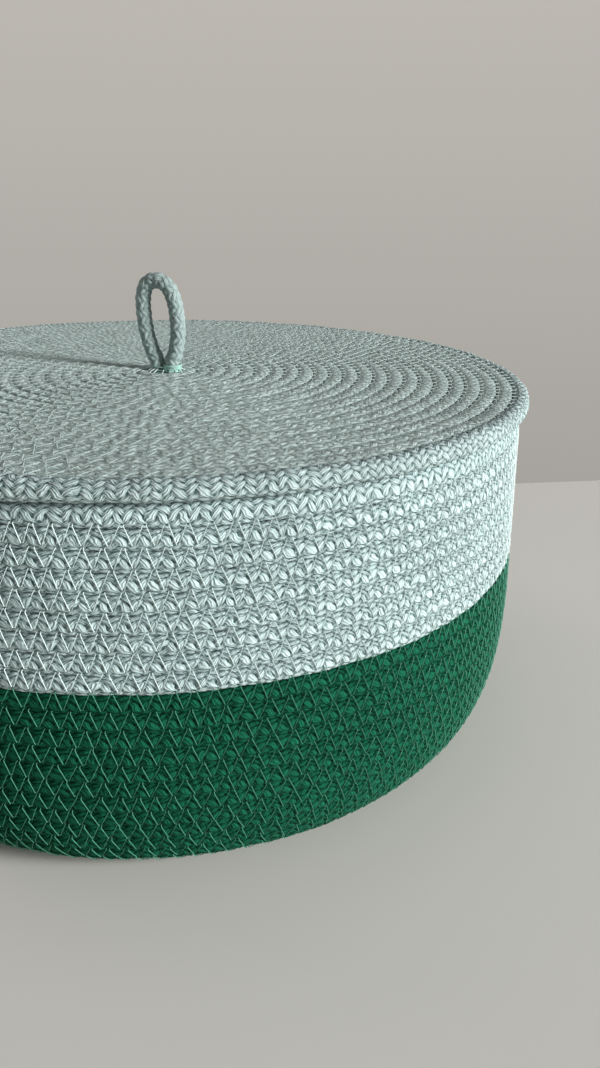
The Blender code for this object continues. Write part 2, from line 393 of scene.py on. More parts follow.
@dataclass
class Coil:
    """A cord wound row on row along a line, level for most of a turn and climbing in the rest.

    A place along the cord is its turn number. Its row is the whole turns plus the share climbed.
    """

    line: CoilLine
    grooves: Array  # the distances along the line where rows start, and where the last one ends
    seed: int
    braid: Braid = field(default_factory=Braid)
    sewing: Sewing = field(default_factory=Sewing)
    climb_share: float = 5 / 24
    climb_end: float = math.radians(240.0)  # the angle where whole turns start
    wander: float = 0.16 * MM
    squareness: float = 2.8  # the m of the section's formula
    valley: float = 0.85  # and its v
    sag: float = 0.0
    sag_angle: float = math.radians(5.0)
    sag_reach: float = 9.0 * MM

    def __post_init__(self) -> None:
        """Measure the cord along its turns."""
        self.rows = len(self.grooves) - 1
        self.beginning = -0.9 * self.climb_share
        self.turns = np.linspace(-2.0, self.rows + 1.0, (self.rows + 3) * 240 + 1)
        middle = self.surface(self.turns, self.row_middle(self.turns), np.zeros_like(self.turns))
        self.arc = run_length(middle)
        wobble = 0.2 * drift(self.arc, self.seed, (4.1, 9.7, 17.3, 33.0))
        self.count = self.arc / self.sewing.stitch + wobble

    def climbed(self, turn: Array) -> Array:
        """The row at a turn: whole turns plus the share of a row climbed."""
        share = turn - np.floor(turn)
        return np.floor(turn) + gentle((share - 1 + self.climb_share) / self.climb_share)

    def edge(self, row: Array) -> Array:
        """The distance along the line of a row's start; shares of a row lie evenly in it."""
        return np.interp(row, np.arange(self.rows + 1), self.grooves)

    def row_middle(self, turn: Array) -> Array:
        """The distance along the line of the middle of the row at a turn."""
        row = self.climbed(turn)
        return (self.edge(row) + self.edge(row + 1)) / 2

    def angle(self, turn: Array) -> Array:
        """The angle round the Z axis at a turn."""
        return self.climb_end + 2 * np.pi * turn

    def surface(self, turn: Array, distance: Array, out: Array, lowest: float = -1.0) -> Array:
        """The point at a turn's angle, a distance along the line and a height out of it.

        Nothing comes lower than the lowest height: there the cords lie flat on what they stand on.
        The first rows sag: with s the distance over the sag's reach, they lie sag s e^(1-s) further
        along the line on one side of the coil, and as much less far on the other.

        Args:
            turn: The turn.
            distance: The distance along the line.
            out: The height over it.
            lowest: The lowest height.

        Returns:
            The points.
        """
        share = np.maximum(distance, 0.0) / self.sag_reach
        angle = self.angle(turn)
        uneven = self.sag * share * np.exp(1 - share) * np.cos(angle - self.sag_angle)
        spot, normal = self.line.place(distance + uneven)
        radius = spot[..., 0] + normal[..., 0] * out
        height = np.maximum(spot[..., 1] + normal[..., 1] * out, lowest)
        return polar(radius, angle, height)

    def stitches(self, turn: Array) -> Array:
        """How many stitches the zigzag that starts on the row has made at a turn."""
        return np.interp(turn, self.turns, self.count)

    def room(self, turn: Array, limits: tuple[int, int]) -> tuple[Array, Array, Array]:
        """The room for the cord at a turn.

        Args:
            turn: The turn.
            limits: The rows between which the whole cord lies: beyond them its ends are drawn thin.

        Returns:
            Its middle along the line, half its width, and how full it is.
        """
        row = self.climbed(turn)
        low, high = self.edge(np.clip(row, *limits)), self.edge(np.clip(row + 1, *limits))
        whole = self.edge(row + 1) - self.edge(row)
        half = np.maximum((high - low) / 2, 0.15 * MM)
        return (low + high) / 2, half, np.clip(2 * half / np.maximum(whole, 4 * MM), 0.12, 1.0)

    def cord(self, part: Stretch, limits: tuple[int, int]) -> Mesh:
        """A stretch of the cord as a closed tube with its braid, its crease and its needle holes.

        Formula: round the middle of the row the section is the squared ellipse
        (half |sin f|^(2/m), radius (1 - v (1 - |cos f|^(2/m)))). Its points are moved along f by the
        braid's height less the pull of the thread. The braid keeps step with the stitches that end on
        the row, one wave to each, as their holes gather its strands. The inner half stays full at its
        sides, so that no light comes through.

        Args:
            part: The stretch.
            limits: The rows between which the whole cord lies.

        Returns:
            Its mesh.
        """
        start, stop = self.stitches(np.array(part.turns) - 1) * part.rings
        number = np.arange(math.ceil(start), math.floor(stop) + 1)[:, None] / part.rings
        turn = np.interp(number, self.count, self.turns) + 1
        corners = part.section.corners()
        around = np.append(corners, corners[0] + 2 * np.pi)[None, :]
        sine, cosine = np.sin(around), np.cos(around)
        middle, half, fullness = self.room(turn, limits)
        radius = self.braid.radius * fullness
        free = (np.sign(sine) == part.free_side) & (part.free_side != 0)
        width = np.where(free, np.maximum(half, radius), half)
        valley = np.where(free, 1.0, self.valley)
        across = width * np.sign(sine) * np.abs(sine) ** (2 / self.squareness)
        out = radius * np.sign(cosine) * (1 - valley * (1 - np.abs(cosine) ** (2 / self.squareness)))

        along = np.interp(turn, self.turns, self.arc)
        wander = self.wander * drift(along, self.seed + 1, (7.0, 13.0, 29.0, 61.0))
        slide = 0.08 * drift(along, self.seed + 2, (1.9, 4.3, 9.0))
        roll = 0.12 * drift(along, self.seed + 3, (1.3, 3.1))
        phase_along = 2 * number + 1.25 + slide
        phase_around = self.braid.round_phase(around) + roll

        counts = [self.stitches(turn), number - self.sewing.swing_share]
        held = [(turn <= self.rows - 1) * 1.0, (turn >= 1.0) * 1.0]
        from_middle = self.braid.radius * np.clip(around, -np.pi / 2, np.pi / 2)
        pull = self.sewing.pull(from_middle, counts, held)
        lift = self.braid.relief * self.braid.height(phase_along, phase_around) * fullness + wander - pull
        across = across + np.where(cosine < 0, np.maximum(lift, 0.1 * MM), lift) * sine
        points = self.surface(turn, middle + across, out + lift * cosine, CORD_LOWEST)

        # The finish paints shade on the cord near a groove, and a free side has none.
        near = np.where(free, np.clip(from_middle, -1.5 * MM, 1.5 * MM), from_middle)
        facts = {
            "cord": xyz(phase_along, phase_around, near / MM),
            "sewn": xyz(*counts, 0 * near),
            "held": xyz(*held, 0 * near),
        }
        return MeshMaker.tube(part.name, points, facts)

    def zigzag(self, name: str, turns: Pair, side: Side) -> Mesh:
        """The zigzag thread that sews each row to the next, as short tubes from hole to hole.

        Formula: hole j of the upper row lies at stitch count j and that of the lower row at j plus
        the swing's share, one turn on. A thread runs straight between two holes, lower near the
        groove than on the next row's crest, and dives into them in a twentieth of its length.

        Args:
            name: The piece's name.
            turns: Where the upper holes start and end.
            side: The face of the coil.

        Returns:
            Its mesh.
        """
        sewing = self.sewing
        share = np.array([0.0, 0.05, 0.5, 0.95, 1.0])[None, :]
        first, last = self.stitches(np.array(turns))
        number = np.arange(math.ceil(first), math.floor(last))[:, None]
        gap = sewing.hole_half / sewing.stitch
        uneven = 0.05 * drift(number / 7.3, self.seed + 4, (1.0, 2.7, 5.9))
        foot = number + sewing.swing_share
        tops = np.concatenate([number + gap + uneven, number + 1 - gap + uneven])
        feet = np.concatenate([foot - sewing.foot_half + uneven, foot + sewing.foot_half + uneven])
        start, stop = (np.interp(count, self.count, self.turns) for count in (tops, feet))
        pairs = (sewing.thread_radii, sewing.stands)
        radius, stand = (np.repeat(pair, len(number))[:, None] for pair in pairs)
        upper = self.row_middle(start) + sewing.upper_place
        lower = self.row_middle(stop + 1) + sewing.lower_place
        turn, distance = (a * (1 - share) + b * share for a, b in ((start, stop), (upper, lower)))
        taut = np.where((share > 0) & (share < 1), stand - sewing.slope * (1 - share), -sewing.anchor)
        out = side.value * (self.braid.radius + taut)
        out = out + 0.05 * MM * drift(start, self.seed + 5, (31.0, 57.0))
        path = self.surface(turn, distance, out)
        up = self.surface(turn, distance, out + side.value * MM) - path
        return MeshMaker.threads(name, path, radius, up)


class Shading:
    """Adds shader nodes to the tree of a material or world and wires them together."""

    def __init__(self, owner: Material | bpy.types.World) -> None:
        """Switch the nodes on and find the shader.

        Args:
            owner: What the tree belongs to.
        """
        owner.use_nodes = True
        self.owner = owner
        self.tree = owner.node_tree
        self.shader = self.tree.nodes.get("Principled BSDF") or self.tree.nodes["Background"]

    def wire(self, value: Value, socket: Socket) -> None:
        """Fill a socket.

        Args:
            value: Another socket, or a plain value.
            socket: The socket.
        """
        if isinstance(value, Socket):
            self.tree.links.new(value, socket)
        else:
            socket.default_value = value

    def step(self, kind: str, inputs: dict[str | int, Value], output: str | int = 0,
             **settings: str) -> Socket:
        """Add a node.

        Args:
            kind: Its type.
            inputs: Its sockets' names or numbers, and their values.
            output: The name or number of the wanted output.
            settings: Its own properties.

        Returns:
            The output.
        """
        node = self.tree.nodes.new(kind)
        for name, setting in settings.items():
            setattr(node, name, setting)
        for name, value in inputs.items():
            self.wire(value, node.inputs[name])
        return node.outputs[output]

    def give(self, values: dict[str, Value]) -> None:
        """Give values to the shader's own sockets."""
        for name, value in values.items():
            self.wire(value, self.shader.inputs[name])

    def maths(self, operation: str, *values: Value) -> Socket:
        """One step of arithmetic."""
        return self.step("ShaderNodeMath", dict(enumerate(values)), operation=operation)

    def parts(self, vector: Socket) -> list[Socket]:
        """The three values of a vector."""
        return list(self.step("ShaderNodeSeparateXYZ", {0: vector}).node.outputs)

    def fact(self, name: str) -> list[Socket]:
        """The three values of one of the piece's own attributes."""
        return self.parts(self.step("ShaderNodeAttribute", {}, "Vector", attribute_name=name))

    def noise(self, scale: float, detail: float, place: Socket | None = None) -> Socket:
        """Noise at a place, or else on the piece's object coordinates."""
        place = self.step("ShaderNodeTexCoord", {}, "Object") if place is None else place
        return self.step("ShaderNodeTexNoise", {"Vector": place, "Scale": scale, "Detail": detail}, "Fac")

    def sway(self, value: Value, by: Socket, strength: float) -> Socket:
        """A value moved by how far another one lies from a half."""
        return self.maths("MULTIPLY_ADD", self.maths("SUBTRACT", by, 0.5), strength, value)

    def streaks(self, first: Socket, a: Socket, b: Socket, yarns: int = 3) -> Socket:
        """The yarns and spun fibres that run along the strand on top.

        Formula: 0.24 sin(2 pi yarns x + 2.6 n) + n, where x is the phase across the strand and n is
        noise drawn out along it. Phase a runs across the first family and along the second.

        Args:
            first: 1 where the first family lies on top, 0 where the second does.
            a: The sum of the phases.
            b: Their difference.
            yarns: The yarns side by side in a strand.

        Returns:
            Their height, round about a half.
        """
        shift = self.maths("MULTIPLY", first, self.maths("SUBTRACT", a, b))
        across = self.maths("ADD", b, shift)
        along = self.maths("SUBTRACT", a, shift)
        scaled = (self.maths("MULTIPLY", *pair) for pair in ((across, 5.5), (along, 0.8), (first, 7.0)))
        place = self.step("ShaderNodeCombineXYZ", dict(enumerate(scaled)))
        noise = self.noise(1.0, 2.0, place)
        waves = self.maths("MULTIPLY", across, 2 * math.pi * yarns)
        yarn = self.maths("SINE", self.maths("MULTIPLY_ADD", noise, 2.6, waves))
        return self.maths("MULTIPLY_ADD", yarn, 0.24, noise)

    def span(self, value: Socket, start: Pair, end: Pair, kind: str = "SMOOTHSTEP") -> Socket:
        """A value carried from one range to another, and kept inside it."""
        values = dict(enumerate((value, *start, *end)))
        return self.step("ShaderNodeMapRange", values, interpolation_type=kind)

    def blend(self, share: Value, one: Value, other: Value) -> Socket:
        """A mix of two colours."""
        return self.step("ShaderNodeMix", {0: share, 6: one, 7: other}, 2, data_type="RGBA")

    def tone(self, colour: Value, factor: Socket) -> Socket:
        """A colour made lighter or darker by a factor."""
        return self.step("ShaderNodeVectorMath", {0: colour, "Scale": factor}, operation="SCALE")


@dataclass(frozen=True)
class CottonFinish:
    """Matt braided cotton: a light back to each strand and painted shade between them.

    Its height is the strands' and the fibres', less where the thread pulls. The bump leaves out a
    share of the strands' rise, which the mesh shows already. Where that height is low, between the
    strands and in the thread's dents, the colour is painted shade.
    """

    name: str
    back: Colour
    hollow_shade: Colour
    roughness: float = 0.86
    sheen: float = 0.04
    sheen_roughness: float = 0.6
    specular: float = 0.08
    depth: float = 1.0  # how deep the hollows look, in the bump and in the painted shade
    bump: float = 1.25 * MM
    strand_share: float = 0.46
    fibre_share: float = 0.28
    pull_share: float = 0.3
    rise_share: float = 0.24
    gather: float = 0.14  # phases to a millimetre by which the holes draw strands in
    gather_reach: float = 1.4 * MM
    slack: tuple[Pair, Pair] = ((260.0, 0.85), (310.0, 0.8))  # noise's scale and strength
    hollow_shade_range: Pair = (-0.6, -0.01)  # the heights between the two colours
    groove_range: Pair = (2.9, 3.9)  # from the row's middle, where the painted groove shade sets in and is full
    between: float = 0.85  # the painted shade in the groove between two rows
    mottle: Pair = (0.94, 1.05)
    fibre_tones_and_shade: Pair = (0.76, 1.07)

    def gathered(self, sheet: Shading, sewing: Sewing, cord: list[Socket]) -> tuple[Value, ...]:
        """Draw the strands towards the needle holes.

        Formula: the pull is that of Sewing without its crease. At x along and y across from a hole
        the phases move by gather * (x, y) * exp(-(x^2 + y^2) / reach^2).

        Args:
            sheet: The material's nodes.
            sewing: The zigzag.
            cord: The two phases, and the distance from the row's middle.

        Returns:
            The moved phases and the pull.
        """
        do = sheet.maths
        along, around, across = cord
        counts, helds = sheet.fact("sewn"), sheet.fact("held")
        pull: Value = 0.0
        for dent in sewing.dents():
            count, held = do("ADD", counts[dent.zigzag], dent.offset), helds[dent.zigzag]
            x = do("MULTIPLY", do("SUBTRACT", count, do("ROUND", count)), sewing.stitch / MM)
            y = do("SUBTRACT", across, dent.place / MM)
            xx, yy = do("MULTIPLY", x, x), do("MULTIPLY", y, y)
            far = do("MULTIPLY", xx, -((MM / dent.length) ** 2))
            far = do("MULTIPLY_ADD", yy, -((MM / dent.width) ** 2), far)
            pull = do("MULTIPLY_ADD", do("MULTIPLY", do("EXPONENT", far), held), dent.depth / MM, pull)
            far = do("MULTIPLY", do("ADD", xx, yy), -((MM / self.gather_reach) ** 2))
            near = do("MULTIPLY", do("EXPONENT", far), held)
            along = do("MULTIPLY_ADD", do("MULTIPLY", near, x), self.gather, along)
            around = do("MULTIPLY_ADD", do("MULTIPLY", near, y), self.gather, around)
        return along, around, pull

    def make(self, braid: Braid, sewing: Sewing | None = None) -> Material:
        """The material, which repeats the braid's and the sewing's formulas finely.

        Args:
            braid: The cord's make.
            sewing: The zigzag that pulls it in, or None on a free cord.

        Returns:
            The material.
        """
        sheet = Shading(bpy.data.materials.new(self.name))
        do = sheet.maths
        along, around, across = cord = sheet.fact("cord")
        pull: Value = 0.0
        if sewing:
            along, around, pull = self.gathered(sheet, sewing, cord)
        along, around = (sheet.sway(phase, sheet.noise(scale, 3.0), strength)
                         for phase, (scale, strength) in zip((along, around), self.slack))
        a, b = do("ADD", around, along), do("SUBTRACT", around, along)
        heights, rises = [], []
        for one, other, apart in ((a, b, 0), (b, a, braid.apart)):
            back = do("ABSOLUTE", do("SINE", do("MULTIPLY", one, math.pi)))
            lap = do("SUBTRACT", do("SUBTRACT", other, do("FLOOR", one)), apart)
            rises.append(do("COSINE", do("MULTIPLY", lap, math.pi / 2)))
            heights.append(do("MULTIPLY_ADD", rises[-1], braid.dip, do("POWER", back, braid.roundness)))
        first = do("GREATER_THAN", *heights)
        fibre = sheet.streaks(first, a, b)
        strand = do("SUBTRACT", do("MAXIMUM", *heights), braid.level)
        height = sheet.sway(do("MULTIPLY", strand, self.strand_share), fibre, self.fibre_share)
        height = do("MULTIPLY_ADD", pull, -self.pull_share, height)
        rise = do("MULTIPLY_ADD", first, do("SUBTRACT", *rises), rises[1])
        top = do("MULTIPLY_ADD", rise, -self.rise_share, height)
        relief = {"Strength": 1.0, "Distance": self.bump * self.depth, "Height": top}
        bump = sheet.step("ShaderNodeBump", relief)

        # Painted shade: the hollow colour where the height is low, between strands and in the thread's dents.
        low, high = self.hollow_shade_range
        colour = sheet.blend(sheet.span(height, (low / self.depth, high), (0.0, 1.0)), self.hollow_shade, self.back)
        mottle = sheet.span(sheet.noise(70.0, 3.0), (0.3, 0.7), self.mottle)
        # The fibres' own tone at random, and painted shade between the yarns.
        threads = sheet.span(fibre, (0.15, 0.85), self.fibre_tones_and_shade)
        # Painted shade in the groove between two rows.
        groove = sheet.span(do("ABSOLUTE", across), self.groove_range, (1.0, self.between))
        colour = sheet.tone(colour, do("MULTIPLY", do("MULTIPLY", mottle, threads), groove))
        sheet.give({"Base Color": colour, "Normal": bump, "Roughness": self.roughness,
                    "Sheen Weight": self.sheen, "Sheen Roughness": self.sheen_roughness,
                    "Specular IOR Level": self.specular})
        return sheet.owner


@dataclass(frozen=True)
class ThreadFinish:
    """Smooth spun sewing thread with a slight shine."""

    name: str
    colour: Colour
    roughness: float = 0.5
    specular: float = 0.4

    def make(self) -> Material:
        """The material: a fine twist in its tone.

        Returns:
            The material.
        """
        sheet = Shading(bpy.data.materials.new(self.name))
        twist = sheet.span(sheet.noise(1800.0, 1.0), (0.3, 0.7), (0.85, 1.1))
        sheet.give({"Base Color": sheet.tone(self.colour[:3], twist), "Roughness": self.roughness,
                    "Specular IOR Level": self.specular})
        return sheet.owner


BRAID = Braid()
SEWING = Sewing()
# In each cotton the second colour is painted shade for the hollows between the strands.
MINT = CottonFinish("mint_braid", (0.67, 0.845, 0.84, 1.0), (0.05, 0.125, 0.115, 1.0))
# A darker, greyer copy of the mint: painted shade for the low light on the lid's top.
LID_MINT_SHADED = CottonFinish("mint_braid_lid_shaded", (0.64, 0.77, 0.74, 1.0), (0.19, 0.27, 0.25, 1.0),
                        depth=0.72, between=0.97)
# A darker copy of the mint for the lid's edge: painted shade.
EDGE_MINT_SHADED = replace(MINT, name="mint_braid_edge_shaded", back=(0.60, 0.745, 0.735, 1.0))
# A much darker copy of the mint: painted shade on the loop.
LOOP_MINT_SHADED = replace(LID_MINT_SHADED, name="mint_braid_loop_shaded", back=(0.43, 0.54, 0.52, 1.0), depth=0.5)
GREEN = CottonFinish("green_braid", (0.0085, 0.138, 0.074, 1.0), (0.0004, 0.013, 0.005, 1.0), sheen=0.0)
PALE_THREAD = ThreadFinish("pale_thread", (0.80, 0.93, 0.91, 1.0))
# A darker copy of the pale thread: painted shade, to match the lid's shaded cord.
LID_THREAD_SHADED = ThreadFinish("lid_thread_shaded", (0.57, 0.69, 0.66, 1.0), roughness=0.7)
GREEN_THREAD = ThreadFinish("green_thread", (0.068, 0.285, 0.19, 1.0))
LASHING = ThreadFinish("lashing_thread", (0.44, 0.72, 0.63, 1.0), roughness=0.6)


def put(name: str, data: bpy.types.ID) -> bpy.types.Object:
    """Put a new object into the scene.

    Args:
        name: Its name.
        data: Its mesh, lamp or camera.

    Returns:
        The object.
    """
    thing = bpy.data.objects.new(name, data)
    bpy.context.scene.collection.objects.link(thing)
    return thing


def add_piece(name: str, mesh: Mesh, material: Material, body: str | None, slot: str,
              *nodes: str) -> bpy.types.Object:
    """Put a mesh into the scene as a piece.

    Args:
        name: The piece's name.
        mesh: Its shape, in place.
        material: Its finish.
        body: The body that carries it, or None where it lies between two and none carries it.
        slot: The record's material slot it belongs to; not used.
        nodes: The CAD nodes that it stands for.

    Returns:
        The new object.
    """
    mesh.materials.append(material)
    piece = put(name, mesh)
    if body:
        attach(piece, body)
    if nodes:
        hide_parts(*nodes)
    LOG.info("%s: %d triangles", name, len(mesh.loops) - 2 * len(mesh.polygons))
    return piece


@dataclass
class Basket:
    """The basket itself: the green and the mint cord, and the threads that sew their rows."""

    mint_rows: int = 9
    corner_height: float = 56.0 * MM
    corner_width: float = 27.6 * MM
    corner_roundness: float = 2.8  # the m of its squared ellipse
    flare: float = 2.5 * MM
    button_radius: float = 2.9 * MM
    row: float = 5.75 * MM
    foot_flat: float = 0.5 * MM  # how far the base's cords are pressed flat
    settled: tuple[Pair, ...] = (  # rows, and the millimetres by which their starts are moved
        (0, 0.2), (1, 0.85), (2, 1.15), (4, 1.6), (10, 2.45), (13, 2.35), (15, 1.6), (17, 1.1), (24, 0.6),
        (42, 0.0),
    )

    def __post_init__(self) -> None:
        """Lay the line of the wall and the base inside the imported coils."""
        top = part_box("mint_wall_coil")[1][2]
        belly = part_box("green_coil")[1][0] - 0.95 * BRAID.radius
        self.low = BRAID.radius - self.foot_flat
        turn = np.linspace(0.0, math.pi / 2, 400)
        power = 2 / self.corner_roundness
        radius = belly - self.corner_width + self.corner_width * np.cos(turn) ** power
        height = self.corner_height - (self.corner_height - self.low) * np.sin(turn) ** power
        rim, end = [belly - self.flare, top], [self.button_radius, self.low]
        line = CoilLine(np.concatenate([[rim], np.stack([radius, height], axis=-1), [end]]))
        starts = np.linspace(0.0, line.length, round(line.length / self.row) + 1)
        grooves = starts + MM * np.interp(np.arange(len(starts)), *zip(*self.settled))
        self.coil = Coil(line, grooves, seed=11, braid=Braid(relief=0.26 * MM), sag=0.8 * MM)

    def build(self) -> None:
        """Wind the cords and sew them."""
        rows, change, begins = self.coil.rows, self.mint_rows, self.coil.beginning
        green = GREEN.make(BRAID, SEWING)
        cords = [
            (MINT.make(BRAID, SEWING), "mint_cotton", "mint_wall_coil", (0, change), [
                Stretch("mint_rim_cord", (begins, 1.0), Section.FREE, free_side=-1),
                Stretch("mint_cord_upper", (1.0, 5.0)),
                Stretch("mint_cord_lower", (5.0, change - SHORT)),
            ]),
            (green, "green_cotton", "green_coil", (change, rows), [
                Stretch("green_cord_top", (change + begins, 14.0)),
                Stretch("green_cord_middle", (14.0, 19.0)),
                Stretch("green_cord_corner", (19.0, 24.0)),
                Stretch("green_cord_base", (24.0, rows - SHORT), Section.PLAIN, rings=3),
            ]),
        ]
        for material, slot, node, limits, parts in cords:
            for part in parts:
                add_piece(part.name, self.coil.cord(part, limits), material, "basket", slot, node)
        pale, deep = PALE_THREAD.make(), GREEN_THREAD.make()
        # No pale thread crosses the green cord's thin beginning.
        to_green = change - 1.0 - self.coil.climb_share * 0.7
        seams = [
            ("mint_seam", (0.0, to_green), Side.OUTER, pale, "mint_cotton"),
            ("green_seam_wall", (to_green, 16.0), Side.OUTER, deep, "green_cotton"),
            ("green_seam_corner", (16.0, rows - 1.0), Side.OUTER, deep, "green_cotton"),
            ("mint_seam_inside", (0.0, to_green), Side.INNER, pale, "mint_cotton"),
            ("green_seam_inside", (to_green, rows - 1.0), Side.INNER, deep, "green_cotton"),
        ]
        for name, turns, side, material, slot in seams:
            add_piece(name, self.coil.zigzag(name, turns, side), material, "basket", slot)
        add_piece("green_cord_start", self.button(), green, "basket", "green_cotton", "green_coil")

    def button(self) -> Mesh:
        """The cord's folded end in the middle of the base.

        Formula: rings of radius r sin(q)^0.6 at heights h - 0.9 c cos(q), with c the cord's radius and
        the braid's height on them.

        Returns:
            Its mesh.
        """
        rise = np.linspace(0.0, np.pi, 15)[:, None]
        angle = np.linspace(-np.pi, np.pi, 25)[None, :]
        along = rise * BRAID.radius / BRAID.half_wave
        around = BRAID.round_phase(angle)
        reach = (self.button_radius + 0.4 * MM) * np.clip(np.sin(rise), 0.02, 1.0) ** 0.6
        reach = reach + BRAID.relief * BRAID.height(along, around) * np.sin(rise)
        height = np.maximum(self.low - 0.9 * BRAID.radius * np.cos(rise), CORD_LOWEST)
        rings = polar(reach, angle, height)
        # Nine millimetres from a row's middle: the finish paints the full groove shade on the button.
        facts = {"cord": xyz(along, around, 9.0), "sewn": 0 * rings, "held": 0 * rings}
        return MeshMaker.tube("green_cord_start", rings, facts)


@dataclass
class Lid:
    """The lid: one mint cord coiled flat round the eye that holds the loop's ends."""

    eye_radius: float = 6.45 * MM
    row: float = 5.75 * MM
    rests_higher: float = 0.6 * MM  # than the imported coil
    edge_gap: float = 0.3 * MM

    def __post_init__(self) -> None:
        """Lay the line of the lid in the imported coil."""
        low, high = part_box("lid_coil")
        self.height = (low[2] + high[2]) / 2 + self.rests_higher
        self.radius = high[0]
        ends = (self.eye_radius, self.radius - self.edge_gap)
        line = CoilLine(np.array([[radius, self.height] for radius in ends]))
        grooves = np.linspace(0.0, line.length, round(line.length / self.row) + 1)
        sewing = Sewing(upper_place=-1.05 * MM, lower_place=-1.7 * MM, recess_depth=0.0, pit_depth=0.15 * MM,
                        crease_depth=0.04 * MM, stands=(0.04 * MM, -0.05 * MM),
                        thread_radii=(0.12 * MM, 0.095 * MM))
        self.coil = Coil(line, grooves, seed=23, braid=Braid(relief=0.2 * MM), sewing=sewing,
                         squareness=2.4, valley=0.36)
        self.edge_coil = replace(self.coil, braid=Braid(relief=0.42 * MM), squareness=2.35)

    def build(self) -> None:
        """Wind the cord and sew it."""
        rows, begins = self.coil.rows, self.coil.beginning
        mint, edge_mint = (finish.make(BRAID, self.coil.sewing) for finish in (LID_MINT_SHADED, EDGE_MINT_SHADED))
        edge = Stretch("lid_cord_edge", (rows - 1.0, rows - SHORT), Section.FREE, free_side=1)
        parts = [
            (self.coil, mint, Stretch("lid_cord_middle", (begins, 11.0))),
            (self.coil, mint, Stretch("lid_cord_ring", (11.0, 17.0))),
            (self.coil, mint, Stretch("lid_cord_outer", (17.0, rows - 1.0))),
            (self.edge_coil, edge_mint, edge),
        ]
        for coil, material, part in parts:
            add_piece(part.name, coil.cord(part, (0, rows)), material, "lid", "mint_cotton", "lid_coil")
        thread = LID_THREAD_SHADED.make()
        for name, side in (("lid_seam", Side.OUTER), ("lid_seam_under", Side.INNER)):
            add_piece(name, self.coil.zigzag(name, (0.0, rows - 1.0), side), thread, "lid", "mint_cotton")


